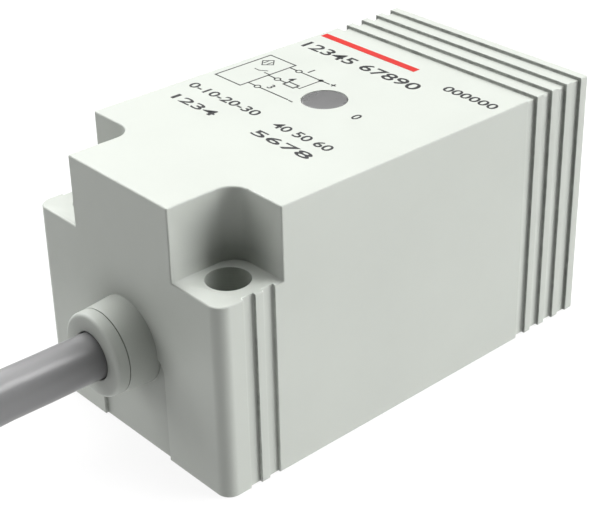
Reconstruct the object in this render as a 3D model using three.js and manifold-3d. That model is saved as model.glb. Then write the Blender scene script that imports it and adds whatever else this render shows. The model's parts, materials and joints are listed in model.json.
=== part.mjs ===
// Block proximity sensor, 30 x 30 x 53 mm, with a potted cable and two through holes in its ears.
// Millimetres. +X points to the sensing face, +Z to the marked top. The origin is the middle of the base.
import * as THREE from "three";
import { mergeVertices } from "three/addons/utils/BufferGeometryUtils.js";
import Module from "manifold-3d";

// Housing
const LENGTH = 53;
const WIDTH = 30;
const HEIGHT = 30;
const WALL = 1.6;
const END_WALL = 1.8;
const EAR_LENGTH = 8;
const EAR_WIDTH = 7;
const EAR_TOP = 22;
const EAR_CORNER = 1.5;
const POCKET_CORNER = 2.2;
const HOLE_D = 4.5;
const HOLE_FROM_END = 4.5;
const HOLE_SPACING = 22;
const RAIL = 1.2;

// Grooves: shallow bands at the sensing end and on the ears, and a wide channel under the gland
const GROOVE_DEPTH = 0.4;
const GROOVE_WIDTH = 1.5;
const GROOVE_PITCH = 2.46;
const HOUSING_GROOVES = 3;
const EAR_GROOVE_WIDTH = 1.4;
const EAR_GROOVES_FROM_END = [3.1, 5.52];
const CHANNEL_WIDTH = 11.4;
const CHANNEL_CORNER = 1.8;

// Sensing-face cap
const FACE_THICKNESS = 1.2;
const SPIGOT_LENGTH = 3.5;

// Gland and cable
const CABLE_D = 5;
const GLAND_Z = 12.1;
const BOSS_LENGTH = 3;
const BOSS_BASE_R = 4.8;
const BOSS_TIP_R = 4.55;
const RING_LENGTH = 1.5;
const RING_EDGE = 0.4;
const GROMMET_WALL = 1;
const CLAMP_LENGTH = 2.8;
const CLAMP_WALL = 2;
const CORE_WIRE_D = 1.3;

// Light pipe and its emitter
const LENS_D = 5;
const LENS_X = 1;
const LENS_Y = 0.4;
const LENS_FLANGE = 0.8;
const LENS_LENGTH = 7.6;

// Circuit board, lying on the housing's rails
const BOARD_THICKNESS = 1;
const BOARD_Z = 19.5;

// Coil assembly behind the sensing face
const POT_D = 23;
const POT_LENGTH = 8.5;
const POT_BASE = 2.5;
const POT_RIM = 1.5;
const POT_POST_R = 4.8;
const POT_HOLE_R = 1.5;
const BOBBIN_WALL = 0.6;
const SHIELD_WALL = 0.4;
const CARRIER_THICKNESS = 2.8;
const CARRIER_HOLE_R = 3;

// Cable put away: a hank of two columns of turns, in line with the sensor
const FOLD_R = 15;
const COLUMNS = 2;
const LAYERS = 5;
const HANK_RUN = 53;
const HANK_NEAR = [-92.3, 7.5];
const TIE_WIDTH = 3.6;
const TIE_THICKNESS = 1.2;
const TIE_HEAD = 5.2;
const TIE_HEAD_HEIGHT = 3.64;
const TIE_CORNER = 2;
const TIP_D = 0.8;
const TIP_LENGTH = 5.5;

// Clearances
const FIT = 0.1;
const GAP = 0.3;
const REACH = 1; // how far a cutting solid runs past the face that it opens
const WELD = 1e-4; // corners closer than this are one corner

// Places worked out from the sizes above
const BACK = -LENGTH / 2;
const FRONT = LENGTH / 2;
const SIDE = WIDTH / 2;
const TOWER = SIDE - EAR_WIDTH;
const FACE_BACK = FRONT - FACE_THICKNESS;
const HOUSING_FRONT = FACE_BACK - GROOVE_WIDTH;
const CAVITY_BACK = BACK + END_WALL;
const CAVITY_STEP = BACK + EAR_LENGTH + WALL;
const CAVITY_SIDE = SIDE - WALL;
const CAVITY_TOP = HEIGHT - WALL;
const BOSS_TIP = BACK - BOSS_LENGTH;
const RING_TIP = BOSS_TIP - RING_LENGTH;
const CABLE_R = CABLE_D / 2;
const CABLE_BORE = CABLE_R + FIT;
const GROMMET_R = CABLE_BORE + GROMMET_WALL;
const JACKET_END = CAVITY_BACK + CLAMP_LENGTH + 0.9;
const AXIS_Z = HEIGHT / 2;
const POT_FRONT = FACE_BACK - 2 * FIT;
const POT_BACK = POT_FRONT - POT_LENGTH;
const SHIELD_R = POT_D / 2 + 2 * FIT + SHIELD_WALL;
const CARRIER_BACK = POT_BACK - GAP - CARRIER_THICKNESS;
const BOARD_FRONT = CARRIER_BACK - GAP;
const BOARD_BACK = CAVITY_STEP + 1.4;
const BOARD_SIDE = CAVITY_SIDE - GAP;
const BOARD_TOP = BOARD_Z + BOARD_THICKNESS;
const HANK_R = FOLD_R + (COLUMNS - 0.5) * CABLE_D; // out to the outer column's outside
const HANK_HEIGHT = LAYERS * CABLE_D + TIE_THICKNESS;
const TIE_X = HANK_NEAR[0] - HANK_RUN / 2;

const wasm = await Module();
wasm.setup();

// ---------- solids ----------

// A closed three.js geometry as a solid that can be joined and cut.
function solid(geometry) {
  const bare = geometry.index ? geometry.toNonIndexed() : geometry.clone();
  bare.deleteAttribute("normal");
  bare.deleteAttribute("uv");
  const merged = mergeVertices(bare, WELD);
  const from = merged.index.array;
  const corners = [];
  for (let i = 0; i < from.length; i += 3) {
    const [a, b, c] = from.slice(i, i + 3);
    if (a !== b && b !== c && c !== a) corners.push(a, b, c);
  }
  const vertProperties = merged.attributes.position.array;
  return new wasm.Manifold(new wasm.Mesh({ numProp: 3, vertProperties, triVerts: new Uint32Array(corners) }));
}

function box(x0, x1, y0, y1, z0, z1) {
  const geometry = new THREE.BoxGeometry(x1 - x0, y1 - y0, z1 - z0);
  return solid(geometry.translate((x0 + x1) / 2, (y0 + y1) / 2, (z0 + z1) / 2));
}

// A box whose middle lies at x, y, standing on z.
function block(x, y, z, long, wide, high) {
  return box(x - long / 2, x + long / 2, y - wide / 2, y + wide / 2, z, z + high);
}

// An outline in X and Y, raised from z0 to z1.
function raised(shape, z0, z1, curveSegments = 12) {
  const geometry = new THREE.ExtrudeGeometry(shape, { depth: z1 - z0, bevelEnabled: false, curveSegments });
  return solid(geometry.translate(0, 0, z0));
}

// An outline in Y and Z, pushed from x0 to x1.
function pushed(shape, x0, x1, curveSegments = 12) {
  const geometry = new THREE.ExtrudeGeometry(shape, { depth: x1 - x0, bevelEnabled: false, curveSegments });
  const [along, up, out] = [[0, 1, 0], [0, 0, 1], [1, 0, 0]].map((axis) => new THREE.Vector3(...axis));
  geometry.applyMatrix4(new THREE.Matrix4().makeBasis(along, up, out));
  return solid(geometry.translate(x0, 0, 0));
}

// A closed profile of [place along the axis, radius] points, turned about an axis along X at y, z.
function turned(profile, y, z, segments = 40) {
  const area = profile.reduce((sum, [x, r], i) => {
    const [nextX, nextR] = profile[(i + 1) % profile.length];
    return sum + x * nextR - nextX * r;
  }, 0);
  const ordered = area > 0 ? [...profile].reverse() : profile;
  const points = [...ordered, ordered[0]].map(([x, r]) => new THREE.Vector2(r, x));
  const geometry = new THREE.LatheGeometry(points, segments);
  return solid(geometry.rotateZ(-Math.PI / 2).translate(0, y, z));
}

// A ring round the cable's axis.
function ringRoundCable(x0, x1, inner, outer) {
  return turned([[x0, inner], [x1, inner], [x1, outer], [x0, outer]], 0, GLAND_Z);
}

// A round bar along X.
function bar(x0, x1, radius, y, z, segments = 40) {
  const geometry = new THREE.CylinderGeometry(radius, radius, x1 - x0, segments);
  return solid(geometry.rotateZ(-Math.PI / 2).translate((x0 + x1) / 2, y, z));
}

// A round bar along Z.
function post(x, y, z0, z1, radius, segments = 48) {
  const geometry = new THREE.CylinderGeometry(radius, radius, z1 - z0, segments);
  return solid(geometry.rotateX(Math.PI / 2).translate(x, y, (z0 + z1) / 2));
}

// A tube of the given diameter along a smooth curve through the points.
function tube(points, diameter, sides, steps) {
  const section = new THREE.Shape(
    Array.from({ length: sides }, (_, i) => {
      const turn = (2 * Math.PI * i) / sides;
      return new THREE.Vector2(Math.cos(turn), Math.sin(turn)).multiplyScalar(diameter / 2);
    }),
  );
  const places = points.map((point) => new THREE.Vector3(...point));
  const extrudePath = new THREE.CatmullRomCurve3(places, false, "centripetal");
  return solid(new THREE.ExtrudeGeometry(section, { extrudePath, steps, bevelEnabled: false }));
}

// A rectangle with its own radius at each corner: [x0 y0, x1 y0, x1 y1, x0 y1].
function rounded(x0, x1, y0, y1, [a, b, c, d]) {
  const shape = new THREE.Shape();
  shape.moveTo(x0 + a, y0);
  shape.lineTo(x1 - b, y0);
  if (b) shape.absarc(x1 - b, y0 + b, b, -Math.PI / 2, 0);
  shape.lineTo(x1, y1 - c);
  if (c) shape.absarc(x1 - c, y1 - c, c, 0, Math.PI / 2);
  shape.lineTo(x0 + d, y1);
  if (d) shape.absarc(x0 + d, y1 - d, d, Math.PI / 2, Math.PI);
  shape.lineTo(x0, y0 + a);
  if (a) shape.absarc(x0 + a, y0 + a, a, Math.PI, 1.5 * Math.PI);
  return shape;
}

// ---------- the scene graph ----------

const sensor = new THREE.Group();

function material(color, roughness, metalness = 0) {
  return new THREE.MeshStandardMaterial({ color, roughness, metalness });
}

const housingPlastic = material(0xe6e9e2, 0.55);
const capPlastic = material(0xe4e7e0, 0.5);
const lensPlastic = material(0x8f8f8f, 0.35);
const jacket = material(0x7c7c7e, 0.45);
const rubber = material(0x2b2b2b, 0.8);
const nickel = material(0xb9b7ad, 0.35, 1);
const brass = material(0xb59a52, 0.4, 1);
const ferrite = material(0x2a2b2e, 0.7);
const bobbinPlastic = material(0xd8cdb0, 0.5);
const copper = material(0xa8572f, 0.35, 1);
const carrierPlastic = material(0x1d1d1f, 0.6);
const boardLaminate = material(0x1f5c38, 0.4);
const packageBlack = material(0x191919, 0.5);
const ceramicTan = material(0xb79a6d, 0.5);
const tantalumYellow = material(0xc9992e, 0.5);
const emitter = material(0xe9e2c4, 0.3);
const resin = material(0x3a3a3c, 0.3);
const brown = material(0x5a3420, 0.45);
const black = material(0x1b1b1b, 0.45);
const blue = material(0x1f4fa0, 0.45);
const tin = material(0xc4c4c2, 0.3, 1);
const nylon = material(0x1c1c1c, 0.5);

function add(name, body, look) {
  const { vertProperties, triVerts } = body.getMesh();
  const geometry = new THREE.BufferGeometry();
  geometry.setAttribute("position", new THREE.BufferAttribute(new Float32Array(vertProperties), 3));
  geometry.setIndex(new THREE.BufferAttribute(new Uint32Array(triVerts), 1));
  geometry.computeVertexNormals();
  const mesh = new THREE.Mesh(geometry, look);
  mesh.name = name;
  sensor.add(mesh);
}

// ---------- housing ----------

// The screw-head pocket above one ear, with a rounded inner corner. side is 1 or -1.
function pocket(side) {
  const wall = BACK + EAR_LENGTH;
  const outline = rounded(BACK - REACH, wall, TOWER, SIDE + REACH, [0, POCKET_CORNER, 0, 0]);
  const cut = raised(outline, EAR_TOP, HEIGHT + REACH);
  return side > 0 ? cut : cut.mirror([0, 1, 0]);
}

// A band cut into the top and both sides of the block between x0 and x1. The base stays plain.
function groove(x0, x1) {
  const outside = box(x0, x1, -SIDE - REACH, SIDE + REACH, -REACH, HEIGHT + REACH);
  const inset = GROOVE_DEPTH;
  return outside.subtract(
    box(x0 - REACH, x1 + REACH, -SIDE + inset, SIDE - inset, -2 * REACH, HEIGHT - inset),
  );
}

function housing() {
  const corners = [EAR_CORNER, 0, 0, EAR_CORNER];
  let body = raised(rounded(BACK, HOUSING_FRONT, -SIDE, SIDE, corners), 0, HEIGHT);
  body = body.subtract(pocket(1)).subtract(pocket(-1));

  const holeX = BACK + HOLE_FROM_END;
  for (const side of [1, -1]) {
    const holeY = (side * HOLE_SPACING) / 2;
    body = body.subtract(post(holeX, holeY, -REACH, EAR_TOP + REACH, HOLE_D / 2));
    for (const start of EAR_GROOVES_FROM_END) {
      const [y0, y1] = [side * (SIDE - GROOVE_DEPTH), side * (SIDE + REACH)].sort((a, b) => a - b);
      const x0 = BACK + start;
      body = body.subtract(box(x0, x0 + EAR_GROOVE_WIDTH, y0, y1, -REACH, EAR_TOP + REACH));
    }
  }
  for (let i = 0; i < HOUSING_GROOVES; i += 1) {
    const x0 = HOUSING_FRONT - (i + 1) * GROOVE_PITCH;
    body = body.subtract(groove(x0, x0 + GROOVE_WIDTH));
  }
  const half = CHANNEL_WIDTH / 2;
  const channel = rounded(-half, half, -REACH, GLAND_Z, [0, 0, CHANNEL_CORNER, CHANNEL_CORNER]);
  body = body.subtract(pushed(channel, BACK - REACH, BACK + GROOVE_DEPTH));

  const boss = [[BOSS_TIP, 0], [BACK + END_WALL / 2, 0], [BACK + END_WALL / 2, BOSS_BASE_R]];
  body = body.add(turned([...boss, [BACK, BOSS_BASE_R], [BOSS_TIP, BOSS_TIP_R]], 0, GLAND_Z, 56));
  body = body.subtract(bar(BOSS_TIP - REACH, CAVITY_BACK + REACH, GROMMET_R + FIT, 0, GLAND_Z));

  const narrow = TOWER - WALL;
  body = body.subtract(box(CAVITY_BACK, CAVITY_STEP + REACH, -narrow, narrow, WALL, CAVITY_TOP));
  body = body.subtract(box(CAVITY_STEP, HOUSING_FRONT + REACH, -CAVITY_SIDE, CAVITY_SIDE, WALL, CAVITY_TOP));
  body = body.subtract(post(LENS_X, LENS_Y, CAVITY_TOP - REACH, HEIGHT + REACH, LENS_D / 2 + FIT / 2));
  for (const [y0, y1] of [[CAVITY_SIDE - RAIL, SIDE - WALL / 2], [WALL / 2 - SIDE, RAIL - CAVITY_SIDE]]) {
    body = body.add(box(CAVITY_STEP - WALL / 2, BOARD_FRONT, y0, y1, BOARD_Z - RAIL, BOARD_Z));
  }
  return body;
}

// The sensing face: a flange as wide as the block, a neck that is the last groove's floor, and a spigot.
function frontCap() {
  const slab = (x0, x1, inset, base = inset) =>
    box(x0, x1, inset - SIDE, SIDE - inset, base, HEIGHT - inset);
  const seat = HOUSING_FRONT + FIT;
  const flange = slab(FACE_BACK, FRONT, 0);
  const neck = slab(seat, FACE_BACK + FACE_THICKNESS / 2, GROOVE_DEPTH, 0);
  const spigot = slab(FACE_BACK - SPIGOT_LENGTH, seat + FIT, WALL + FIT);
  const coilRoom = bar(FACE_BACK - SPIGOT_LENGTH - REACH, FACE_BACK, SHIELD_R + 2 * FIT, 0, AXIS_Z, 56);
  return flange.add(neck).add(spigot).subtract(coilRoom);
}

add("housing", housing(), housingPlastic);
add("front_cap", frontCap(), capPlastic);

// ---------- gland ----------

function glandRing() {
  const spigotEnd = BOSS_TIP + GROMMET_WALL;
  return turned(
    [
      [RING_TIP, CABLE_BORE],
      [spigotEnd, CABLE_BORE],
      [spigotEnd, GROMMET_R],
      [BOSS_TIP - FIT, GROMMET_R],
      [BOSS_TIP - FIT, BOSS_TIP_R],
      [RING_TIP + RING_EDGE, BOSS_TIP_R - FIT / 2],
      [RING_TIP + RING_EDGE * 0.3, BOSS_TIP_R - RING_EDGE * 0.3],
      [RING_TIP, BOSS_TIP_R - RING_EDGE],
    ],
    0,
    GLAND_Z,
    56,
  );
}

add("gland_ring", glandRing(), housingPlastic);
const grommetBack = BOSS_TIP + GROMMET_WALL + FIT;
add("grommet", ringRoundCable(grommetBack, CAVITY_BACK - FIT, CABLE_BORE, GROMMET_R), rubber);
const clampBack = CAVITY_BACK + FIT;
const clampR = CABLE_BORE + CLAMP_WALL;
add("cable_clamp", ringRoundCable(clampBack, clampBack + CLAMP_LENGTH, CABLE_BORE, clampR), nickel);

// ---------- light pipe ----------

function lens() {
  const shaft = post(LENS_X, LENS_Y, HEIGHT - LENS_LENGTH, HEIGHT, LENS_D / 2);
  const flangeTop = CAVITY_TOP - FIT;
  const flange = post(LENS_X, LENS_Y, flangeTop - LENS_FLANGE, flangeTop, LENS_D / 2 + LENS_FLANGE);
  return shaft.add(flange);
}

add("led_lens", lens(), lensPlastic);

// ---------- circuit board ----------

const board = box(BOARD_BACK, BOARD_FRONT, -BOARD_SIDE, BOARD_SIDE, BOARD_Z, BOARD_TOP);
add("circuit_board", board, boardLaminate);

// name, x, y, length, width, height, look, and the side of the board: 1 on top, -1 below
const COMPONENTS = [
  ["led_chip", LENS_X, LENS_Y, 3.2, 1.6, 1.1, emitter, 1],
  ["oscillator_ic", -6.5, 0, 4, 8.7, 1.5, packageBlack, 1],
  ["output_transistor", -11, -7.5, 3.5, 6.5, 1.6, packageBlack, 1],
  ["surge_diode", -11, 7, 2.6, 4.3, 2.1, packageBlack, 1],
  ["oscillator_capacitor", 9, 4, 1.6, 3.2, 1.2, ceramicTan, 1],
  ["led_resistor", 4.5, 4.5, 2, 1.25, 0.6, packageBlack, 1],
  ["trim_resistor", 9, -4, 2, 1.25, 0.6, packageBlack, 1],
  ["filter_capacitor", 0, 6.5, 7.3, 4.3, 2.8, tantalumYellow, -1],
  ["polarity_diode", -4, -6, 4.3, 2.6, 2.1, packageBlack, -1],
  ["decoupling_capacitor", 2.5, -2, 2, 1.25, 0.9, ceramicTan, -1],
  ["sense_resistor", 5, -7.5, 3.2, 1.6, 0.6, packageBlack, -1],
];

for (const [name, x, y, long, wide, high, look, side] of COMPONENTS) {
  add(name, block(x, y, side > 0 ? BOARD_TOP : BOARD_Z - high, long, wide, high), look);
}

// ---------- coil assembly ----------

const potR = POT_D / 2;
const windowBack = POT_BACK + POT_BASE;
const potCore = [
  [POT_BACK, POT_HOLE_R],
  [POT_BACK, potR],
  [POT_FRONT, potR],
  [POT_FRONT, potR - POT_RIM],
  [windowBack, potR - POT_RIM],
  [windowBack, POT_POST_R],
  [POT_FRONT, POT_POST_R],
  [POT_FRONT, POT_HOLE_R],
];
add("ferrite_core", turned(potCore, 0, AXIS_Z, 48), ferrite);

const bobbinBack = windowBack + FIT;
const bobbinFront = POT_FRONT - FIT;
const bobbinBore = POT_POST_R + 2 * FIT;
const bobbinR = potR - POT_RIM - 2 * FIT;
const barrelR = bobbinBore + BOBBIN_WALL;
const bobbin = [
  [bobbinBack, bobbinBore],
  [bobbinBack, bobbinR],
  [bobbinBack + BOBBIN_WALL, bobbinR],
  [bobbinBack + BOBBIN_WALL, barrelR],
  [bobbinFront - BOBBIN_WALL, barrelR],
  [bobbinFront - BOBBIN_WALL, bobbinR],
  [bobbinFront, bobbinR],
  [bobbinFront, bobbinBore],
];
add("coil_bobbin", turned(bobbin, 0, AXIS_Z), bobbinPlastic);

const windingBack = bobbinBack + BOBBIN_WALL + FIT;
const windingFront = bobbinFront - BOBBIN_WALL - FIT;
const winding = [
  [windingBack, barrelR + FIT],
  [windingBack, bobbinR - GAP],
  [windingFront, bobbinR - GAP],
  [windingFront, barrelR + FIT],
];
add("coil_winding", turned(winding, 0, AXIS_Z), copper);

const shieldIn = SHIELD_R - SHIELD_WALL;
const shield = [[POT_BACK, shieldIn], [POT_BACK, SHIELD_R], [POT_FRONT, SHIELD_R], [POT_FRONT, shieldIn]];
add("shield_ring", turned(shield, 0, AXIS_Z, 48), brass);

const carrierFront = CARRIER_BACK + CARRIER_THICKNESS;
const carrier = box(CARRIER_BACK, carrierFront, -BOARD_SIDE, BOARD_SIDE, WALL + GAP, CAVITY_TOP - GAP);
const carrierHole = bar(CARRIER_BACK - REACH, carrierFront + REACH, CARRIER_HOLE_R, 0, AXIS_Z);
add("core_carrier", carrier.subtract(carrierHole), carrierPlastic);

// Two leads run from the core's middle through the carrier's hole and up to the board's under side.
const leadRise = BOARD_Z - GAP - AXIS_Z;
for (const [name, side] of [["coil_lead_start", 1], ["coil_lead_finish", -1]]) {
  const route = [
    [POT_BACK + 1.5, side * 0.6, AXIS_Z],
    [CARRIER_BACK, side * 0.6, AXIS_Z],
    [BOARD_FRONT - 4, side, AXIS_Z + leadRise * 0.3],
    [BOARD_FRONT - 4, side, AXIS_Z + leadRise],
  ];
  add(name, tube(route, 0.5, 6, 12), copper);
}

// ---------- potting ----------

// The resin below the board; the cores and the board's lower parts stay clear of it.
const resinTop = GLAND_Z - CABLE_R - 0.4;
const resinSide = CAVITY_SIDE - GAP;
const resinBack = CAVITY_STEP + GAP;
add("potting_resin", box(resinBack, BOARD_FRONT, -resinSide, resinSide, WALL + GAP, resinTop), resin);

// ---------- cable ----------

// Straight out of the gland, then down and aside onto the surface, and into the hank's inner column.
const CABLE_ROUTE = [
  [JACKET_END, 0, GLAND_Z],
  [RING_TIP, 0, GLAND_Z],
  [-43, 0, GLAND_Z],
  [-48, -0.4, 11.6],
  [-53, -1.5, 10.2],
  [-58, -3.75, 7.3],
  [-63, -6, 4.4],
  [-68, -7.1, 3],
  [-73, -7.5, CABLE_R],
  [-79, -7.5, CABLE_R],
];

// The hank's outline: two round ends and two straight sides, grown by a margin.
function hankOutline(margin) {
  const [x, y] = HANK_NEAR;
  const radius = HANK_R + margin;
  const shape = new THREE.Shape();
  shape.absarc(x, y, radius, -Math.PI / 2, Math.PI / 2);
  shape.absarc(x - HANK_RUN, y, radius, Math.PI / 2, 1.5 * Math.PI);
  return shape;
}

const clearOfHank = raised(hankOutline(GAP), -REACH, HANK_HEIGHT + REACH, 32);
add("cable", tube(CABLE_ROUTE, CABLE_D, 12, 22).subtract(clearOfHank), jacket);

// The tie goes round the hank's middle and stands on the surface under it.
function tie() {
  const [, y] = HANK_NEAR;
  const half = TIE_WIDTH / 2;
  const top = HANK_HEIGHT + GAP + TIE_THICKNESS;
  const inner = HANK_R - TIE_THICKNESS;
  const [outerCorners, innerCorners] = [TIE_CORNER, TIE_CORNER - TIE_THICKNESS].map((r) => [r, r, r, r]);
  const band = pushed(rounded(y - HANK_R, y + HANK_R, 0, top, outerCorners), TIE_X - half, TIE_X + half);
  const inside = rounded(y - inner, y + inner, TIE_THICKNESS, top - TIE_THICKNESS, innerCorners);
  const head = block(TIE_X, y + FOLD_R, top - TIE_THICKNESS / 2, TIE_HEAD, TIE_HEAD, TIE_HEAD_HEIGHT);
  return band.subtract(pushed(inside, TIE_X - TIE_WIDTH, TIE_X + TIE_WIDTH)).add(head);
}

// The room that the tie takes out of the hank's under side and its two long sides.
function tieRoom() {
  const [, y] = HANK_NEAR;
  const half = TIE_WIDTH / 2 + GAP;
  const depth = TIE_THICKNESS + GAP;
  const [reach, top] = [HANK_R + REACH, HANK_HEIGHT + REACH];
  const outside = box(TIE_X - half, TIE_X + half, y - reach, y + reach, -REACH, top);
  const kept = HANK_R - depth;
  return outside.subtract(box(TIE_X - TIE_WIDTH, TIE_X + TIE_WIDTH, y - kept, y + kept, depth, top + REACH));
}

add("cable_hank", raised(hankOutline(0), 0, HANK_HEIGHT, 24).subtract(tieRoom()), jacket);
add("cable_tie", tie(), nylon);

// The free end leaves the hank's outer column on the surface and is stripped to its cores.
const TAIL_Y = 27.5;
const TAIL_END = -70;
const TAIL_ROUTE = [
  [-84, TAIL_Y, CABLE_R],
  [-77, TAIL_Y, CABLE_R],
  [TAIL_END, TAIL_Y, CABLE_R],
];
add("cable_tail", tube(TAIL_ROUTE, CABLE_D, 12, 2).subtract(clearOfHank), jacket);

const LEADS = [
  ["brown", brown, [0, 0.85], [[-66, 27.4, 3.1], [-60, 27, 1.6], [-53, 26.9, 0.75], [-44.5, 27.3, 0.7]]],
  ["blue", blue, [0.75, -0.5], [[-66, 28.4, 1.8], [-60, 28.9, 0.95], [-53, 29.1, 0.7], [-44, 29.2, 0.7]]],
  ["black", black, [-0.75, -0.5], [[-66, 26.4, 1.8], [-60, 25.3, 0.95], [-53, 24.7, 0.7], [-45, 24.6, 0.7]]],
];

for (const [colour, look, [aside, above], route] of LEADS) {
  const start = [TAIL_END + GAP, TAIL_Y + aside, CABLE_R + above];
  add(`lead_${colour}`, tube([start, ...route], CORE_WIRE_D, 8, 14), look);
  const [x, y, z] = route.at(-1);
  const tip = [[x + FIT, y, z], [x + TIP_LENGTH / 2, y, z], [x + TIP_LENGTH, y, z]];
  add(`lead_tip_${colour}`, tube(tip, TIP_D, 8, 2), tin);

  // Inside the housing the same core runs from the jacket's end up to the board.
  const z0 = GLAND_Z + above;
  const rise = BOARD_Z - GAP - z0;
  const inner = [
    [JACKET_END + GAP, aside, z0],
    [JACKET_END + 2.2, aside * 1.4, z0],
    [BOARD_BACK + 1.6, aside * 4, z0 + rise * 0.4],
    [BOARD_BACK + 1.6, aside * 4, z0 + rise],
  ];
  add(`core_wire_${colour}`, tube(inner, CORE_WIRE_D, 8, 12), look);
}

export default sensor;
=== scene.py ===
"""Block proximity sensor with its cable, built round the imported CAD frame.

+X points to the sensing face and +Z up. Blender's values are in metres; the sizes named below, and the points
of routes and outlines, are in mm.
"""
import json
import math
import random

import bmesh
import bpy
import numpy as np
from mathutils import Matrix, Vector


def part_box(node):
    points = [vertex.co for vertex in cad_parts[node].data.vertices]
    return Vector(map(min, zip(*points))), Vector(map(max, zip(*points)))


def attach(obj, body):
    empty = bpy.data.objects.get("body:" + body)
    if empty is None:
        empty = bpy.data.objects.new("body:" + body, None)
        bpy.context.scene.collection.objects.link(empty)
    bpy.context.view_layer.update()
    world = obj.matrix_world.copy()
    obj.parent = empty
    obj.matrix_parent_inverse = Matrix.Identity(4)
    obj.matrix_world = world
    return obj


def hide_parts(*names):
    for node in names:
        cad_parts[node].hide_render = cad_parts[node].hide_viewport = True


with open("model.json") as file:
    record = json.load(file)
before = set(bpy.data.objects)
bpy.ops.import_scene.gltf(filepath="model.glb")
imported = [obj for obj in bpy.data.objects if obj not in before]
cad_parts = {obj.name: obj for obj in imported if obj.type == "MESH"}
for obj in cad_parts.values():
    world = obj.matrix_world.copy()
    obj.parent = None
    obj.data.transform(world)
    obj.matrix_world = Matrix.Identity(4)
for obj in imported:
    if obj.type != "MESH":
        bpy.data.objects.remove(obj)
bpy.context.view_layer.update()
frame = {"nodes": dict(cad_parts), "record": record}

MM = 0.001
ROOT = "root"
rng = random.Random(7)

# The block, in mm. Its two sides are alike, so a place across it is given by its distance from the middle.
FRONT, SIDE, TOP = (round(size / MM, 3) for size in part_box("front_cap")[1])
BACK = -FRONT
MID_HEIGHT = TOP / 2
EAR_LENGTH, EAR_WIDTH, EAR_TOP = 8, 7, 22
POCKET_WALL, TOWER = BACK + EAR_LENGTH, SIDE - EAR_WIDTH
EAR_HOLE, EAR_HOLE_R = (BACK + 4.5, 11), 2.25
LENS, LENS_R = (1, 0.4), 2.5
GLAND_Z = 12.1
GROOVE_DEPTH = 0.4
FLANGE = 1.2
FACE_BACK = FRONT - FLANGE
EDGE, CRISP = 0.18, 0.07


# ---------- camera ----------

CAMERA_AT = Vector((-98.19, -109.30, 94.80)) * MM
CAMERA_LOOKS = Vector((0.61349, 0.63711, -0.46660))


def make_camera():
    data = bpy.data.cameras.new("camera")
    data.lens, data.sensor_width = 90.33, 36
    data.shift_x, data.shift_y = -0.1131, -0.0769
    data.clip_start, data.clip_end = 0.01, 10
    camera = bpy.data.objects.new("camera", data)
    camera.location = CAMERA_AT
    camera.rotation_mode = "QUATERNION"
    camera.rotation_quaternion = CAMERA_LOOKS.to_track_quat("-Z", "Y")
    bpy.context.scene.collection.objects.link(camera)
    bpy.context.scene.camera = camera


make_camera()


# ---------- materials ----------

class Nodes:
    """A small helper round one material's node tree."""

    def __init__(self, name):
        self.material = bpy.data.materials.new(name)
        self.material.use_nodes = True
        self.tree = self.material.node_tree
        self.tree.nodes.clear()
        self.out = self.tree.nodes.new("ShaderNodeOutputMaterial")
        self.shader = self.tree.nodes.new("ShaderNodeBsdfPrincipled")
        self.link(self.shader, "BSDF", self.out, "Surface")
        self.place = self.tree.nodes.new("ShaderNodeTexCoord")

    def new(self, kind, **values):
        node = self.tree.nodes.new("ShaderNode" + kind)
        for key, value in values.items():
            setattr(node, key, value)
        return node

    def link(self, source, output, target, socket):
        self.tree.links.new(source.outputs[output], target.inputs[socket])

    def maths(self, operation, *operands):
        """A Math node. An operand is a number, a node, for its first output, or a (node, output) pair."""
        node = self.new("Math", operation=operation)
        for socket, operand in enumerate(operands):
            if isinstance(operand, (int, float)):
                node.inputs[socket].default_value = operand
            elif isinstance(operand, tuple):
                self.link(*operand, node, socket)
            else:
                self.link(operand, 0, node, socket)
        return node

    def noise(self, per_mm, detail=3.0, roughness=0.55, stretch=(1, 1, 1)):
        """Noise with that many features to the millimetre."""
        mapping = self.new("Mapping")
        mapping.inputs["Scale"].default_value = [1000 * per_mm * s for s in stretch]
        self.link(self.place, "Object", mapping, "Vector")
        noise = self.new("TexNoise")
        noise.inputs["Scale"].default_value = 1
        noise.inputs["Detail"].default_value = detail
        noise.inputs["Roughness"].default_value = roughness
        self.link(mapping, "Vector", noise, "Vector")
        return noise

    def remap(self, source, output, low, high, from_low=0.3, from_high=0.7):
        node = self.new("MapRange")
        sockets = ("From Min", "From Max", "To Min", "To Max")
        for socket, value in zip(sockets, (from_low, from_high, low, high)):
            node.inputs[socket].default_value = value
        self.link(source, output, node, "Value")
        return node

    def ramp(self, source, output, stops):
        """A ramp between two stops, each (place, colour)."""
        node = self.new("ValToRGB")
        for element, (at, colour) in zip(node.color_ramp.elements, stops):
            element.position, element.color = at, (*colour, 1)
        self.link(source, output, node, "Fac")
        return node

    def bump(self, source, output, height_mm, previous=None, strength=1.0):
        node = self.new("Bump")
        node.inputs["Strength"].default_value = strength
        node.inputs["Distance"].default_value = height_mm * MM
        self.link(source, output, node, "Height")
        if previous:
            self.link(previous, "Normal", node, "Normal")
        return node


# The dark colour that painted shade is mixed towards.
SHADE_DARK = (0.02, 0.02, 0.018, 1)


def shade(colour, factor):
    """The colour made that much lighter or darker."""
    return tuple(min(1, c * factor) for c in colour)


def product(n, factors):
    """The factors, which are nodes with one value each, multiplied together."""
    total = factors[0]
    for factor in factors[1:]:
        total = n.maths("MULTIPLY", total, factor)
    return total


def step(n, source, output, nothing_at, full_at):
    """0 at one value in mm and 1 at the other."""
    low, high = sorted((nothing_at, full_at))
    ends = (0, 1) if nothing_at < full_at else (1, 0)
    return n.remap(source, output, *ends, low * MM, high * MM)


def hollows(n, reach_mm, open_at, shut_at):
    """1 in a corner or a recess and 0 on open faces."""
    corner = n.new("AmbientOcclusion", samples=8)
    corner.inputs["Distance"].default_value = reach_mm * MM
    return n.remap(corner, "AO", 1, 0, shut_at, open_at)


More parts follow.
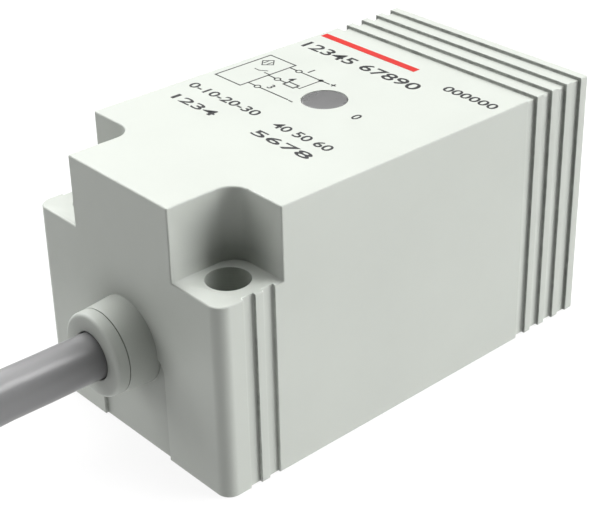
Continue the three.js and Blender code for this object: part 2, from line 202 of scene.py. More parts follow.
def painted_shade(n, colours):
    """Painted shade: the colour darkened on the groove walls, in the recess below the gland, round its foot
    and in the ears' pockets.
    """
    place = n.new("SeparateXYZ")
    n.link(n.place, "Object", place, "Vector")
    across = n.maths("ABSOLUTE", (place, "Y"))
    outward = n.maths("MAXIMUM", across, n.maths("SUBTRACT", (place, "Z"), MID_HEIGHT * MM))
    facing = n.new("SeparateXYZ")
    n.link(n.new("NewGeometry"), "Normal", facing, "Vector")
    wall = n.remap(n.maths("ABSOLUTE", (facing, "X")), "Value", 0, 1, 0.6, 0.8)

    # A groove's walls face along the block, near its skin, between the pockets' walls and the end faces.
    before_ends = step(n, n.maths("ABSOLUTE", (place, "X")), "Value", 25.7, 25.5)
    past_pockets = step(n, n.maths("ABSOLUTE", n.maths("ADD", (place, "X"), 2.2 * MM)), "Value", 17.3, 17.5)
    near_skin = step(n, outward, "Value", SIDE - 1.5 * GROOVE_DEPTH, SIDE - 0.45)
    grooves = product(n, [wall, near_skin, before_ends, past_pockets])
    recess = product(n, [step(n, place, "X", BACK + 0.15, BACK + 0.3),
                         step(n, place, "X", BACK + 0.6, BACK + 0.45),
                         step(n, across, "Value", 5.75, 5.68), step(n, place, "Z", 14, 13)])
    foot = product(n, [hollows(n, 4.0, 0.98, 0.55), step(n, place, "X", BACK + 0.5, BACK + 0.4)])
    pocket = product(n, [hollows(n, 7.0, 0.95, 0.45),
                         step(n, place, "X", POCKET_WALL + 0.3, POCKET_WALL - 0.1),
                         step(n, across, "Value", TOWER - 0.2, TOWER + 0.1),
                         step(n, place, "Z", EAR_TOP + 0.3, EAR_TOP + 1.5)])
    # Each mask mixes in painted shade, deepest on the groove walls.
    for mask, amount in ((grooves, 0.6), (recess, 0.1), (foot, 0.3), (pocket, 0.3)):
        shaded = n.new("MixRGB", blend_type="MIX")
        n.link(n.maths("MULTIPLY", mask, amount), "Value", shaded, "Fac")
        n.link(colours, "Color", shaded, "Color1")
        shaded.inputs["Color2"].default_value = SHADE_DARK
        colours = shaded
    return colours


def plastic(name, colour, roughness=0.5, grain_mm=0.15, height_mm=0.004, vary=0.02, specular=0.5, wear_and_shade=0.0,
            uneven=0.05, wave=0.3):
    """Moulded plastic: a fine eroded grain and slow changes of tone and gloss.

    A nonzero wear amount also rubs its edges lighter and smoother, and paints shade in the block's grooves,
    recess and pockets and round the boss's foot.
    """
    n = Nodes(name)
    tone = n.noise(0.06, 4)
    colours = n.ramp(tone, "Fac", [(0.3, shade(colour, 1 - vary)), (0.7, shade(colour, 1 + vary))])
    if wear_and_shade:
        # Painted shade in the block's hollows.
        colours = painted_shade(n, colours)
    gloss_noise = n.noise(0.35, 4)
    gloss = n.remap(gloss_noise, "Fac", roughness - uneven, roughness + uneven)
    grain = n.noise(1 / grain_mm, 2)
    swell = n.bump(n.noise(0.12, 1), "Fac", 0.02, strength=wave)
    n.link(n.bump(grain, "Fac", height_mm, swell), "Normal", n.shader, "Normal")
    if wear_and_shade:
        bevel = n.new("Bevel", samples=4)
        bevel.inputs["Radius"].default_value = 0.35 * MM
        geometry = n.new("NewGeometry")
        dot = n.new("VectorMath", operation="DOT_PRODUCT")
        n.link(bevel, "Normal", dot, 0)
        n.link(geometry, "Normal", dot, 1)
        edge = n.remap(dot, "Value", 1, 0, 0.9, 0.995)
        rubbed = n.new("MixRGB", blend_type="MIX")
        rubbed.inputs["Color2"].default_value = (*shade(colour, 1 + wear_and_shade), 1)
        scratch = n.noise(0.8, 5, 0.7)
        where = n.remap(scratch, "Fac", 0, 1, 0.35, 0.6)
        both = n.maths("MULTIPLY", edge, where)
        n.link(both, "Value", rubbed, "Fac")
        n.link(colours, "Color", rubbed, "Color1")
        n.link(rubbed, "Color", n.shader, "Base Color")
        smoother = n.maths("MULTIPLY_ADD", both, -0.12, gloss)
        n.link(smoother, "Value", n.shader, "Roughness")
    else:
        n.link(colours, "Color", n.shader, "Base Color")
        n.link(gloss, "Result", n.shader, "Roughness")
    n.shader.inputs["Specular IOR Level"].default_value = specular
    return n.material


def metal(name, colour, roughness=0.3, stretch=(1, 1, 1), per_mm=2.0, height_mm=0.006, vary=0.06):
    """Metal with a fine grain, drawn out into lines along an axis whose stretch is below 1."""
    n = Nodes(name)
    lines = n.noise(per_mm, 4, 0.6, stretch)
    colours = n.ramp(lines, "Fac", [(0.3, shade(colour, 1 - vary)), (0.7, shade(colour, 1 + vary))])
    n.link(colours, "Color", n.shader, "Base Color")
    blotch = n.noise(0.5, 3)
    n.link(n.remap(blotch, "Fac", roughness - 0.08, roughness + 0.1), "Result", n.shader, "Roughness")
    n.link(n.bump(lines, "Fac", height_mm), "Normal", n.shader, "Normal")
    n.shader.inputs["Metallic"].default_value = 1
    return n.material


HOUSING_COLOUR = (0.527, 0.553, 0.512)
MATERIALS = {
    # The housing and the cap get rubbed edges and painted shade.
    "housing_plastic": plastic("housing_plastic", HOUSING_COLOUR, 0.5, wear_and_shade=0.05),
    "cap_plastic": plastic("cap_plastic", HOUSING_COLOUR, 0.48, wear_and_shade=0.05),
    "lens_plastic": plastic("lens_plastic", (0.17, 0.17, 0.17), 0.3, grain_mm=0.4, height_mm=0.002,
                            vary=0.04),
    "ink_black": plastic("ink_black", (0.03, 0.03, 0.032), 0.45, grain_mm=0.08, height_mm=0.003, vary=0.25),
    "ink_red": plastic("ink_red", (0.55, 0.025, 0.02), 0.42, grain_mm=0.08, height_mm=0.003, vary=0.15),
    "seal_rubber": plastic("seal_rubber", (0.03, 0.03, 0.03), 0.75, grain_mm=0.1, height_mm=0.01, vary=0.15),
    "bobbin_plastic": plastic("bobbin_plastic", (0.62, 0.54, 0.38), 0.45, vary=0.05),
    "carrier_plastic": plastic("carrier_plastic", (0.022, 0.022, 0.024), 0.55, vary=0.15),
    "package_black": plastic("package_black", (0.018, 0.018, 0.019), 0.5, grain_mm=0.06, height_mm=0.006,
                             vary=0.2),
    "ceramic_tan": plastic("ceramic_tan", (0.42, 0.3, 0.15), 0.4, grain_mm=0.05, height_mm=0.003, vary=0.12),
    "tantalum_yellow": plastic("tantalum_yellow", (0.6, 0.33, 0.04), 0.45, grain_mm=0.08, vary=0.06),
    "emitter": plastic("emitter", (0.8, 0.74, 0.5), 0.25, grain_mm=0.1, height_mm=0.002, vary=0.04),
    "resin": plastic("resin", (0.035, 0.035, 0.04), 0.22, grain_mm=0.6, height_mm=0.01, vary=0.2),
    "ferrite": plastic("ferrite", (0.035, 0.035, 0.04), 0.6, grain_mm=0.07, height_mm=0.012, vary=0.25),
    "board_laminate": plastic("board_laminate", (0.02, 0.14, 0.055), 0.35, grain_mm=0.25, height_mm=0.006,
                              vary=0.12),
    "core_brown": plastic("core_brown", (0.11, 0.045, 0.02), 0.42, vary=0.1),
    "core_black": plastic("core_black", (0.016, 0.016, 0.017), 0.42, vary=0.2),
    "core_blue": plastic("core_blue", (0.02, 0.09, 0.4), 0.42, vary=0.1),
    "tie_nylon": plastic("tie_nylon", (0.02, 0.02, 0.021), 0.42, grain_mm=0.12, height_mm=0.005, vary=0.15),
    "nickel": metal("nickel", (0.55, 0.53, 0.48), 0.3, (0.15, 1, 1)),
    "shield_brass": metal("shield_brass", (0.62, 0.45, 0.17), 0.32, (0.15, 1, 1)),
    "copper": metal("copper", (0.5, 0.2, 0.08), 0.28, (1, 1, 1), per_mm=4),
    "tin": metal("tin", (0.6, 0.6, 0.58), 0.3, (0.3, 1, 1), per_mm=5),
    "jacket": plastic("jacket", (0.19, 0.19, 0.193), 0.33, grain_mm=0.3, height_mm=0.002, vary=0.02,
                      specular=0.8, uneven=0.015, wave=0.05),
}


# ---------- pieces ----------

def finish_piece(piece, slot, *nodes):
    """Every piece rides on the one body, takes its slot's material and stands for its CAD nodes."""
    if piece.name not in bpy.context.scene.collection.objects:
        bpy.context.scene.collection.objects.link(piece)
    if not piece.data.materials:
        piece.data.materials.append(MATERIALS[slot])
    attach(piece, ROOT)
    if nodes:
        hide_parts(*nodes)
    return piece


# ---------- cable ----------

CABLE_R = 2.5
FOLD_R = 15
NEAR_X, FAR_X, HANK_Y = -92.3, -145.3, 7.5
TIE_X = (NEAR_X + FAR_X) / 2
LAYERS = 5
PITCH = 5
STEPS = 14
LOOSE, SNUG = (0.4, 1.6), (0, 0.4)
TAIL_X, TAIL_Y = -70, HANK_Y + FOLD_R + PITCH
LEAD_IN = [
    (-21, 0, GLAND_Z), (-26, 0, GLAND_Z), (-31, 0, GLAND_Z), (-37, 0, GLAND_Z), (-43, 0, GLAND_Z),
    (-48, -0.4, 11.6), (-53, -1.5, 10.2), (-58, -3.75, 7.3), (-63, -6, 4.4), (-68, -7.1, 3),
    (-73, -7.5, CABLE_R), (-79, -7.5, CABLE_R), (-86, -7.5, CABLE_R),
]


def ease(t):
    return t * t * (3 - 2 * t)


def run(x0, x1, y, z0, z1, steps=STEPS):
    """A straight run of the hank, which may climb or sink a layer on its way."""
    shares = np.linspace(0, 1, steps, endpoint=False)
    return [(x0 + (x1 - x0) * t, y, z0 + (z1 - z0) * ease(t)) for t in shares]


def fold(x, r0, r1, z, start):
    """Half a turn, from start degrees clockwise, that may grow from r0 to r1."""
    points = []
    for t in np.linspace(0, 1, STEPS, endpoint=False):
        radius, turn = r0 + (r1 - r0) * ease(t), math.radians(start - 180 * t)
        points.append((x + radius * math.cos(turn), HANK_Y + radius * math.sin(turn), z))
    return points


def hank_points():
    """Five turns up the inner column, over to the outer one, and down again to the free end."""
    inner, outer = FOLD_R, FOLD_R + PITCH
    low, high = HANK_Y - inner, HANK_Y + inner
    z, points = CABLE_R, []
    near_now = NEAR_X
    for layer in range(LAYERS):
        top = layer == LAYERS - 1
        far_now = FAR_X if top else FAR_X + rng.uniform(*LOOSE)
        points += run(near_now, far_now, low, z, z)
        points += fold(far_now, inner, outer if top else inner, z, -90)
        if top:
            break
        near_now = NEAR_X - rng.uniform(*LOOSE)
        points += run(far_now, near_now, high, z, z + PITCH)
        z += PITCH
        points += fold(near_now, inner, inner, z, 90)
    far_now = FAR_X
    for layer in range(LAYERS - 1):
        near_now = NEAR_X - rng.uniform(*SNUG)
        points += run(far_now, near_now, HANK_Y + outer, z, z)
        points += fold(near_now, outer, outer, z, 90)
        far_now = FAR_X + rng.uniform(*SNUG)
        points += run(near_now, far_now, HANK_Y - outer, z, z - PITCH)
        z -= PITCH
        points += fold(far_now, outer, outer, z, -90)
    points += run(far_now, TAIL_X, TAIL_Y, z, z, 20) + [(TAIL_X, TAIL_Y, z)]
    return points


def in_tie(point):
    """Under the tie the turns are lifted off the surface and drawn together."""
    x, y, z = point
    reach, drawn_in, lifted = 14, 1.45, 1.3
    if abs(x - TIE_X) > reach:
        return point
    share = (1 + math.cos(math.pi * (x - TIE_X) / reach)) / 2
    return x, y + math.copysign(drawn_in * share, HANK_Y - y), z + lifted * share


def smooth_line(points, spacing=2.0):
    """The points on a Catmull-Rom curve, evenly spaced and in metres."""
    p = np.array([2 * np.array(points[0]) - points[1], *points, 2 * np.array(points[-1]) - points[-2]], float)
    dense = []
    for a, b, c, d in zip(p[:-3], p[1:-2], p[2:-1], p[3:]):
        linear, square, cube = c - a, 2 * a - 5 * b + 4 * c - d, 3 * b - a - 3 * c + d
        for t in np.linspace(0, 1, 8, endpoint=False):
            dense.append(0.5 * (2 * b + linear * t + square * t**2 + cube * t**3))
    dense = np.array([*dense, p[-2]])
    along = np.concatenate([[0], np.cumsum(np.linalg.norm(np.diff(dense, axis=0), axis=1))])
    at = np.linspace(0, along[-1], int(along[-1] / spacing) + 1)
    return np.stack([np.interp(at, along, dense[:, k]) for k in range(3)], axis=1) * MM


def curve_piece(name, points, radius_mm, resolution=8):
    """A round rod along one open line of points, which are in metres."""
    data = bpy.data.curves.new(name, "CURVE")
    data.dimensions = "3D"
    data.bevel_depth = radius_mm * MM
    data.bevel_resolution = resolution
    data.use_fill_caps = True
    spline = data.splines.new("POLY")
    spline.points.add(len(points) - 1)
    for at, place in zip(spline.points, points):
        at.co = (*place, 1)
    spline.use_smooth = True
    return bpy.data.objects.new(name, data)


cable_line = smooth_line(LEAD_IN + [in_tie(p) for p in hank_points()])
cable = curve_piece("power_cable", cable_line, CABLE_R)
finish_piece(cable, "jacket", "cable", "cable_hank", "cable_tail")


# ---------- tie and stripped cores ----------

def mesh_piece(name, bm, smooth=True):
    """An object made of what the bmesh holds, which is then freed."""
    bmesh.ops.recalc_face_normals(bm, faces=bm.faces)
    mesh = bpy.data.meshes.new(name)
    bm.to_mesh(mesh)
    bm.free()
    for polygon in mesh.polygons:
        polygon.use_smooth = smooth
    return bpy.data.objects.new(name, mesh)


def loft(bm, rings, closed=False):
    """Joins rings of points, in mm, one to the next; the ends are capped unless the loft closes on itself."""
    made = [[bm.verts.new(Vector(point) * MM) for point in ring] for ring in rings]
    count = len(made[0])
    pairs = list(zip(made, made[1:])) + ([(made[-1], made[0])] if closed else [])
    for one, two in pairs:
        for i in range(count):
            j = (i + 1) % count
            bm.faces.new((one[i], one[j], two[j], two[i]))
    if not closed:
        bm.faces.new(made[0][::-1])
        bm.faces.new(made[-1])


def body_box(bm, x0, x1, y0, y1, z0, z1):
    """A closed block between two corners, in mm."""
    loft(bm, [[(x0, y0, z), (x1, y0, z), (x1, y1, z), (x0, y1, z)] for z in (z0, z1)])


RIB_SPACING = 0.55
STRAP_W, STRAP_THICK = 3.6, 1.2


def band_outline(y0, y1, z0, z1, radius):
    """Points round the tie's outside, with the way out at each: (y, z, out y, out z)."""
    points = []
    corners = [(y1 - radius, z0 + radius, -90), (y1 - radius, z1 - radius, 0),
               (y0 + radius, z1 - radius, 90), (y0 + radius, z0 + radius, 180)]
    for i, (y, z, start) in enumerate(corners):
        for k in range(9):
            turn = math.radians(start + 90 * k / 8)
            out = (math.cos(turn), math.sin(turn))
            points.append((y + radius * out[0], z + radius * out[1], *out))
        next_y, next_z, turned_to = corners[(i + 1) % 4]
        turn = math.radians(turned_to)
        out = (round(math.cos(turn)), round(math.sin(turn)))
        end = (next_y + radius * out[0], next_z + radius * out[1])
        here = points[-1][:2]
        count = int(math.dist(here, end) / RIB_SPACING)
        for k in range(1, count):
            share = k / count
            points.append((here[0] + (end[0] - here[0]) * share, here[1] + (end[1] - here[1]) * share, *out))
    return points


def strap(bm):
    """The ribbed strap, round the hank from the surface to just above the top layer."""
    half, flat, chamfer = STRAP_W / 2, 1.25, 0.2
    rings = []
    for i, (y, z, out_y, out_z) in enumerate(band_outline(-15, 30, 0.02, 27.7, 2)):
        rib = 0.34 if i % 2 else 0.16
        section = [
            (-half, chamfer), (chamfer - half, 0), (-flat, 0), (0.15 - flat, rib), (flat - 0.15, rib),
            (flat, 0), (half - chamfer, 0), (half, chamfer), (half, STRAP_THICK - chamfer),
            (half - chamfer, STRAP_THICK), (chamfer - half, STRAP_THICK), (-half, STRAP_THICK - chamfer),
        ]
        rings.append([(TIE_X + across, y - out_y * depth, z - out_z * depth) for across, depth in section])
    loft(bm, rings, closed=True)


def head(bm):
    """The tie's head, a square block with the strap's cut end standing in its slot."""
    half, y, low, top = 2.6, 22.5, 26.4, 30.72
    slot_x, slot_y, deep = 2.05, 0.85, 1.2
    shape = [
        (half - 0.35, half - 0.35, low), (half, half, low + 0.35),
        (half, half, top - 0.3), (half - 0.3, half - 0.3, top),
        (slot_x + 0.15, slot_y + 0.15, top), (slot_x, slot_y, top - 0.15), (slot_x, slot_y, top - deep),
    ]
    corners = ((-1, -1, False), (-1, -1, True), (1, -1, True), (1, -1, False),
               (1, 1, False), (1, 1, True), (-1, 1, True), (-1, 1, False))
    rings = []
    for long, wide, z in shape:
        cut = min(0.25, wide / 4)
        ring = []
        for side_x, side_y, cut_in_x in corners:
            cut_x, cut_y = (cut, 0) if cut_in_x else (0, cut)
            ring.append((TIE_X + side_x * (long - cut_x), y + side_y * (wide - cut_y), z))
        rings.append(ring)
    loft(bm, rings)
    body_box(bm, TIE_X - 1.75, TIE_X + 1.75, y - 0.55, y + 0.55, top - deep - 0.3, top - 0.35)


def make_tie():
    """The nylon tie round the hank's middle."""
    bm = bmesh.new()
    strap(bm)
    head(bm)
    return finish_piece(mesh_piece("hank_tie", bm, smooth=False), "tie_nylon", "cable_tie")


CORE_R, STRAND_R, STRANDS_APART = 0.65, 0.14, 0.255
TIP_LENGTH, TIP_START = 5.9, 0.3


def strand(bm, end, number):
    """One of seven strands from a core's end: six twisted round the last, drawn in and thinned at the tip."""
    x, y, z = end
    rings = []
    for k in range(41):
        share = k / 40
        turn = math.tau * (number / 6 + 1.1 * share)
        away = 0 if number == 6 else STRANDS_APART * (1 - 0.25 * share**6)
        middle = (x - TIP_START + TIP_LENGTH * share, y + away * math.cos(turn), z + away * math.sin(turn))
        radius = STRAND_R * (1 if share < 0.97 else 0.6)
        around = (math.tau * i / 8 for i in range(8))
        rings.append([(middle[0], middle[1] + radius * math.cos(a), middle[2] + radius * math.sin(a))
                      for a in around])
    loft(bm, rings)


def make_core(colour, route, offset):
    """One stripped core, from just inside the jacket's end, and its tinned end."""
    y, z = TAIL_Y + offset[0], CABLE_R + offset[1]
    line = smooth_line([(TAIL_X - 1, y, z), (TAIL_X + 0.3, y, z)] + route, 0.8)
    core = finish_piece(curve_piece(f"core_{colour}", line, CORE_R, 5), f"core_{colour}", f"lead_{colour}")
    bm = bmesh.new()
    for number in range(7):
        strand(bm, route[-1], number)
    tip = finish_piece(mesh_piece(f"tinned_{colour}", bm), "tin", f"lead_tip_{colour}")
    return [core, tip]


ROUTES = {
    "brown": ([(-66, 27.4, 3.1), (-60, 27, 1.6), (-53, 26.9, 0.75), (-44.5, 27.3, 0.7)], (0, 0.85)),
    "blue": ([(-66, 28.4, 1.8), (-60, 28.9, 0.95), (-53, 29.1, 0.7), (-44, 29.2, 0.7)], (0.75, -0.5)),
    "black": ([(-66, 26.4, 1.8), (-60, 25.3, 0.95), (-53, 24.7, 0.7), (-45, 24.6, 0.7)], (-0.75, -0.5)),
}
cord_pieces = [make_tie()]
for colour, (route, offset) in ROUTES.items():
    cord_pieces += make_core(colour, route, offset)


# ---------- moulded shells ----------

def shell(name, node, slot, radius_mm, rounding):
    """A CAD node's body with its edges rounded.

    rounding gives each sharp edge's radius in mm, from its middle, its direction and whether it is convex.
    """
    mesh = frame["nodes"][node].data.copy()
    mesh.name = name
    mesh.materials.clear()
    bm = bmesh.new()
    bm.from_mesh(mesh)
    bmesh.ops.remove_doubles(bm, verts=bm.verts, dist=1e-6)
    bmesh.ops.dissolve_limit(bm, angle_limit=math.radians(0.4), verts=bm.verts, edges=bm.edges)
    weight = bm.edges.layers.float.new("bevel_weight_edge")
    for edge in bm.edges:
        if len(edge.link_faces) == 2 and edge.calc_face_angle(0) > math.radians(25):
            a, b = (v.co / MM for v in edge.verts)
            edge[weight] = rounding((a + b) / 2, (b - a).normalized(), edge.is_convex) / radius_mm
            edge.smooth = edge[weight] > 0
    bm.to_mesh(mesh)
    bm.free()
    for polygon in mesh.polygons:
        polygon.use_smooth = True
    piece = bpy.data.objects.new(name, mesh)
    bpy.context.scene.collection.objects.link(piece)
    bevel = piece.modifiers.new("rounding", "BEVEL")
    bevel.limit_method, bevel.width, bevel.segments = "WEIGHT", radius_mm * MM, 3
    bevel.use_clamp_overlap = False
    bevel.miter_outer = "MITER_ARC"
    bevel.harden_normals = False
    normals = piece.modifiers.new("normals", "WEIGHTED_NORMAL")
    normals.keep_sharp = True
    normals.weight = 100
    return finish_piece(piece, slot, node)


def near(a, b):
    return abs(a - b) < 0.02


EAR_CORNER_X = -25
GROOVES_FROM = 15


def housing_rounding(middle, along, convex):
    """Full rounding on the block's outline, crisp edges at holes and grooves, and none elsewhere."""
    x, y, z = middle[0], abs(middle[1]), middle[2]
    lying, upright = abs(along[0]) > 0.99, abs(along[2]) > 0.99
    if not convex:
        return 0
    if x < BACK - 0.02:  # the boss
        return CRISP if near(x, -29.5) and math.hypot(y, z - GLAND_Z) > 4 else 0
    at_side = near(y, SIDE)
    at_groove_floor = near(y, SIDE - GROOVE_DEPTH)
    if lying and (at_side or at_groove_floor) and (z < 0.5 or z > TOP - 0.5):
        return EDGE
    in_pocket_outline = x < POCKET_WALL + 0.02 and y > TOWER - 0.02
    if near(z, TOP) and (in_pocket_outline or near(x, BACK)):
        return EDGE
    if near(z, 0) and (near(x, BACK) or in_pocket_outline and not lying and x < EAR_CORNER_X):
        return EDGE
    in_hole = math.hypot(x - EAR_HOLE[0], y - EAR_HOLE[1]) < EAR_HOLE_R + 0.05
    if near(z, EAR_TOP) and in_pocket_outline:
        at_outline = at_side or x < EAR_CORNER_X + 0.1
        return EDGE if at_outline and not in_hole else CRISP
    if near(z, 0) and (in_hole or at_side):
        return CRISP if in_hole else EDGE
    if upright and (near(x, BACK) and near(y, TOWER) or near(x, POCKET_WALL) and at_side):
        return EDGE
    if near(x, BACK) and y < 6 and z < 12.2:  # the recess below the gland
        return CRISP
    outside = at_side or near(z, 0) or near(z, TOP)
    at_lens = math.hypot(x - LENS[0], middle[1] - LENS[1]) < LENS_R + 0.2
    if outside and (x > GROOVES_FROM or upright or at_lens):
        return CRISP
    return 0


def cap_rounding(middle, along, convex):
    """Full rounding round the face and crisp edges behind its flange."""
    x, y, z = middle[0], abs(middle[1]), middle[2]
    if not convex:
        return 0
    if near(x, FRONT) or near(x, (FRONT + FACE_BACK) / 2):
        return EDGE
    return CRISP if near(x, FACE_BACK) and (near(y, SIDE) or near(z, 0) or near(z, TOP)) else 0


shell("sensor_housing", "housing", "housing_plastic", EDGE, housing_rounding)
shell("sensing_cap", "front_cap", "cap_plastic", EDGE, cap_rounding)


def turned(name, profile, place, axis="X", segments=96):
    """A closed profile of [place along the axis, radius] points in mm, turned about an axis through place."""
    bm = bmesh.new()
    rings = []
    for i in range(segments):
        turn = math.tau * i / segments
        ring = []
        for along, radius in profile:
            a, b = radius * math.cos(turn), radius * math.sin(turn)
            point = (along, a, b) if axis == "X" else (a, b, along)
            ring.append(Vector(place) + Vector(point))
        rings.append(ring)
    loft(bm, rings, closed=True)
    bmesh.ops.remove_doubles(bm, verts=bm.verts, dist=1e-7)
    piece = mesh_piece(name, bm)
    piece.modifiers.new("normals", "WEIGHTED_NORMAL").weight = 60
    return piece


def softened(profile, radii, steps=4):
    """The profile with each corner rounded by its own radius."""
    points = []
    for i, (corner, radius) in enumerate(zip(profile, radii)):
        here = Vector(corner)
        before, after = Vector(profile[i - 1]), Vector(profile[(i + 1) % len(profile)])
        if not radius:
            points.append(tuple(here))
            continue
        to_before, to_after = (before - here).normalized(), (after - here).normalized()
        half = to_before.angle(to_after) / 2
        back = radius / math.tan(half)
        start, end = here + to_before * back, here + to_after * back
        for t in np.linspace(0, 1, steps + 1):
            points.append(tuple((1 - t) ** 2 * start + 2 * t * (1 - t) * here + t**2 * end))
    return points


GLAND = (0, 0, GLAND_Z)
ring_profile = [(-31, 2.6), (-28.5, 2.6), (-28.5, 3.6), (-29.6, 3.6), (-29.6, 4.55), (-31, 4.52)]
ring = turned("gland_front_ring", softened(ring_profile, [0.18, 0, 0, 0, 0.08, 0.45], 5), GLAND)
finish_piece(ring, "housing_plastic", "gland_ring")

# A smooth skin over the boss's facets.
boss_profile = [(-29.52, 3.65), (-25.6, 3.65), (-25.6, 4.815), (BACK, 4.815), (-29.52, 4.565)]
boss = turned("gland_boss", softened(boss_profile, [0, 0, 0, 0, 0.08], 3), GLAND, segments=128)
finish_piece(boss, "housing_plastic")

lens_profile = [(22.4, 0), (TOP, 0), (TOP - 0.05, LENS_R), (28.3, LENS_R), (28.3, 3.3), (27.5, 3.3),
                (27.5, LENS_R), (22.4, LENS_R)]
lens = turned("status_light", softened(lens_profile, [0, 0, 0.14, 0, 0.1, 0.1, 0, 0.1]), (*LENS, 0), axis="Z")
finish_piece(lens, "lens_plastic", "led_lens")


# ---------- marking ----------

INK_LOW, INK_HIGH = TOP - 0.01, TOP + 0.02
THIN = 0.12


class Print:
    """Flat print on the top, as thin closed bodies. It reads towards -Y, and its digits stand towards +X."""

    def __init__(self):
        self.bm = bmesh.new()

    def prism(self, outline):
        """A body over an outline of (x, y) points, in mm, anticlockwise seen from above."""
        low, high = (
            [self.bm.verts.new((x * MM, y * MM, z * MM)) for x, y in outline] for z in (INK_LOW, INK_HIGH)
        )
        self.bm.faces.new(high)
        self.bm.faces.new(low[::-1])
        for i in range(len(outline)):
            j = (i + 1) % len(outline)
            self.bm.faces.new((low[i], low[j], high[j], high[i]))

    def line(self, start, end, wide=0.16):
        a, b = Vector(start), Vector(end)
        along = (b - a).normalized() * wide / 2
        across = Vector((-along.y, along.x))
        a, b = a - along, b + along
        self.prism([tuple(a - across), tuple(b - across), tuple(b + across), tuple(a + across)])

    def lines(self, points, wide=0.16):
        for start, end in zip(points, points[1:]):
            self.line(start, end, wide)

    @staticmethod
    def round_points(middle, radius, count, steps=20):
        turns = [math.tau * i / steps for i in range(count)]
        return [(middle[0] + radius * math.cos(t), middle[1] + radius * math.sin(t)) for t in turns]

    def disc(self, middle, radius):
        self.prism(self.round_points(middle, radius, 20))

    def circle(self, middle, radius):
        self.lines(self.round_points(middle, radius, 21), THIN)

    def text(self, body, foot, y0, y1, height):
        """Digits between y0 and y1, standing on x = foot. A lone digit keeps its own width from y0."""
        curve = bpy.data.curves.new("digits", "FONT")
        curve.body, curve.resolution_u, curve.extrude, curve.offset = body, 4, 0.5, 0.012
        holder = bpy.data.objects.new("digits", curve)
        mesh = bpy.data.meshes.new_from_object(holder)
        places = np.array([v.co for v in mesh.vertices])
        low, high = places.min(0), places.max(0)
        share = (places - low) / (high - low)
        if len(body) == 1:
            y1 = y0 - height * (high[0] - low[0]) / (high[1] - low[1])
        placed = np.stack([
            foot + share[:, 1] * height,
            y0 + share[:, 0] * (y1 - y0),
            INK_LOW + share[:, 2] * (INK_HIGH - INK_LOW),
        ], axis=1)
        mesh.vertices.foreach_set("co", placed.ravel() * MM)
        self.bm.from_mesh(mesh)
        bpy.data.objects.remove(holder)
        bpy.data.curves.remove(curve)
        bpy.data.meshes.remove(mesh)

    def piece(self, name, slot):
        bmesh.ops.remove_doubles(self.bm, verts=self.bm.verts, dist=2e-7)
        return finish_piece(mesh_piece(name, self.bm, smooth=False), slot)


def wiring_drawing(ink):
    """A plain three-wire connection drawing, with no letters."""
    left, right, high, low = 13.9, 9.6, 5.05, -3.05
    ink.lines([(high, right), (high, left), (low, left), (low, right), (high, right)])

    # The wires, each from the box through a small circle.
    upper, middle, lower = 4.15, 1.0, -1.9
    circle, radius, end = 8.05, 0.35, 3.1
    for x, number in ((upper, "1"), (middle, "4"), (lower, "3")):
        ink.line((x, right), (x, circle + radius))
        ink.circle((x, circle), radius)
        ink.text(number, x + 0.5, 7.2, 0, 1.05)
    ink.line((upper, circle - radius), (upper, end))
    ink.line((lower, circle - radius), (lower, end))

    # The load on the middle wire, which ends in a joint on the upper one.
    load_start, load_end, half, joint = 6.6, 5.0, 0.42, 4.4
    ink.disc((upper, joint), 0.3)
    ink.line((middle, circle - radius), (middle, load_start))
    ink.lines([(middle + half, load_start), (middle + half, load_end), (middle - half, load_end),
               (middle - half, load_start), (middle + half, load_start)], 0.18)
    ink.lines([(middle, load_end), (middle, joint), (upper, joint)], THIN)

    # Plus and minus.
    ink.line((4.25, 2.75), (4.25, 2.25))
    ink.line((4.0, 2.5), (4.5, 2.5))
    ink.line((-1.95, 2.8), (-1.95, 2.3))

    # A diamond in the box, and a switch beside it.
    x, y, reach = 3.35, 12.4, 0.9
    ink.lines([(x + reach, y), (x, y + reach), (x - reach, y), (x, y - reach), (x + reach, y)], THIN)
    for side in (0.3, -0.3):
        ink.line((x + 0.35, y + side), (x - 0.35, y + side), THIN)
    ink.lines([(1.2, 12.1), (1.2, 11.4), (1.75, 10.6)], THIN)
    ink.line((1.2, 10.5), (1.2, 9.6), THIN)


black_ink = Print()
wiring_drawing(black_ink)
# Rows of digits: what they say, the X they stand on, the Y they run from and to, and their height.
for digits, foot, y0, y1, height in (
    ("12345 67890", 9.45, 13.75, -4.5, 1.78),
    ("000000", 11.85, -6.4, -13.9, 1.35),
    ("0", -0.35, -4.9, 0, 1.3),
    ("0-10-20-30", -7.25, 13.6, 2.3, 1.3),
    ("40 50 60", -7.6, -0.7, -9.3, 1.3),
    ("1234", -10.55, 12.3, 5.4, 1.3),
    ("5678", -10.3, -0.6, -9.2, 1.3),
):
    black_ink.text(digits, foot, y0, y1, height)
black_ink.piece("marking_black", "ink_black")

red_ink = Print()
red_ink.line((13.75, 13.9), (13.75, -0.4), 1.0)
red_ink.piece("marking_red", "ink_red")


# ---------- floor and light ----------

FLOOR_GLOW = 0.85
UNDER_RADIANCE, UNDER_SIDE = 0.82, 20


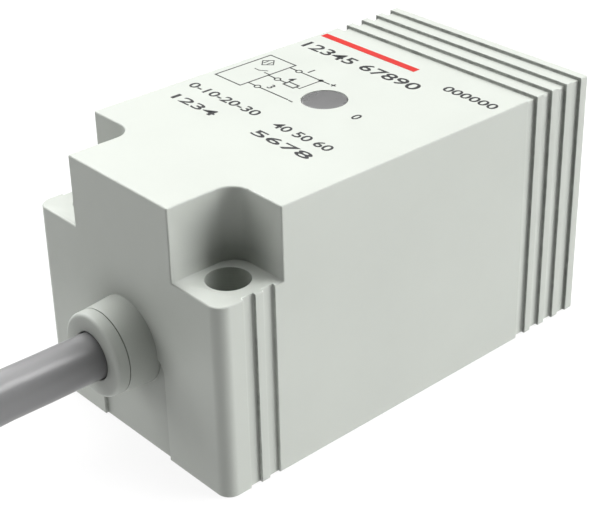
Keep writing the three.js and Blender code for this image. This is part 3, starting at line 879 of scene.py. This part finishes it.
def make_floor():
    """A pale floor that glows like a light table, so that shadows on it stay faint."""
    side = 4
    bm = bmesh.new()
    bm.faces.new([bm.verts.new((x * side, y * side, 0)) for x, y in ((-1, -1), (1, -1), (1, 1), (-1, 1))])
    floor = mesh_piece("floor", bm, smooth=False)
    bpy.context.scene.collection.objects.link(floor)
    n = Nodes("floor")
    tones = n.ramp(n.noise(0.004, 2), "Fac", [(0.3, (0.17, 0.17, 0.17)), (0.7, (0.18, 0.18, 0.18))])
    n.link(tones, "Color", n.shader, "Base Color")
    n.shader.inputs["Roughness"].default_value = 0.9
    n.shader.inputs["Specular IOR Level"].default_value = 0
    n.shader.inputs["Emission Color"].default_value = (1, 1, 1, 1)
    n.shader.inputs["Emission Strength"].default_value = FLOOR_GLOW
    floor.data.materials.append(n.material)
    # The lamp under it, not the floor's own glow, lights the sensor from below.
    floor.visible_diffuse = floor.visible_glossy = floor.visible_shadow = False


def soft_light(name, azimuth, elevation, power, side, far=1.2):
    """A square lamp that faces the sensor. Azimuth is from +X towards +Y, in degrees."""
    data = bpy.data.lights.new(name, "AREA")
    data.shape, data.size, data.energy = "SQUARE", side, power
    light = bpy.data.objects.new(name, data)
    flat, up = math.radians(azimuth), math.radians(elevation)
    out = Vector((math.cos(up) * math.cos(flat), math.cos(up) * math.sin(flat), math.sin(up)))
    light.location = out * far
    light.rotation_mode = "QUATERNION"
    light.rotation_quaternion = (Vector((0, 0, 0.015)) - light.location).to_track_quat("-Z", "Y")
    bpy.context.scene.collection.objects.link(light)
    return light


def make_world():
    """A white surround that shows behind the floor and in nothing else."""
    world = bpy.data.worlds.new("world")
    bpy.context.scene.world = world
    world.use_nodes = True
    background = world.node_tree.nodes["Background"]
    background.inputs["Color"].default_value = (1, 1, 1, 1)
    background.inputs["Strength"].default_value = 1
    world.cycles_visibility.diffuse = False
    world.cycles_visibility.glossy = False


make_floor()
make_world()
# Each lamp's direction in degrees, power in watts and side in metres.
for name, azimuth, elevation, power, side in (
    ("zenith", 0, 90, 1.9, 0.9),
    ("overhead", 45, 70, 12.6, 1.3),
    ("back", 90, 30, 11.5, 0.9),
    ("back_left", 135, 30, 4.6, 0.9),
    ("front_right", -45, 18, 15.5, 0.9),
    ("cable_glint", -36, 57, 4.5, 0.42),
):
    light = soft_light(name, azimuth, elevation, power, side)
    # Only the small lamp draws a bright line along the cable.
    light.visible_glossy = name != "front_right"
soft_light("under", 0, -90, UNDER_RADIANCE * math.pi * UNDER_SIDE**2, UNDER_SIDE, far=1)
bpy.context.scene.view_settings.view_transform = "Standard"


# ---------- carried-over CAD nodes ----------

for row in frame["record"]["subparts"]:
    carried = frame["nodes"][row["node"]]
    if not carried.hide_render:
        if not carried.material_slots:
            carried.data.materials.append(None)
        for holder in carried.material_slots:
            holder.material = MATERIALS[row["material_slot"]]
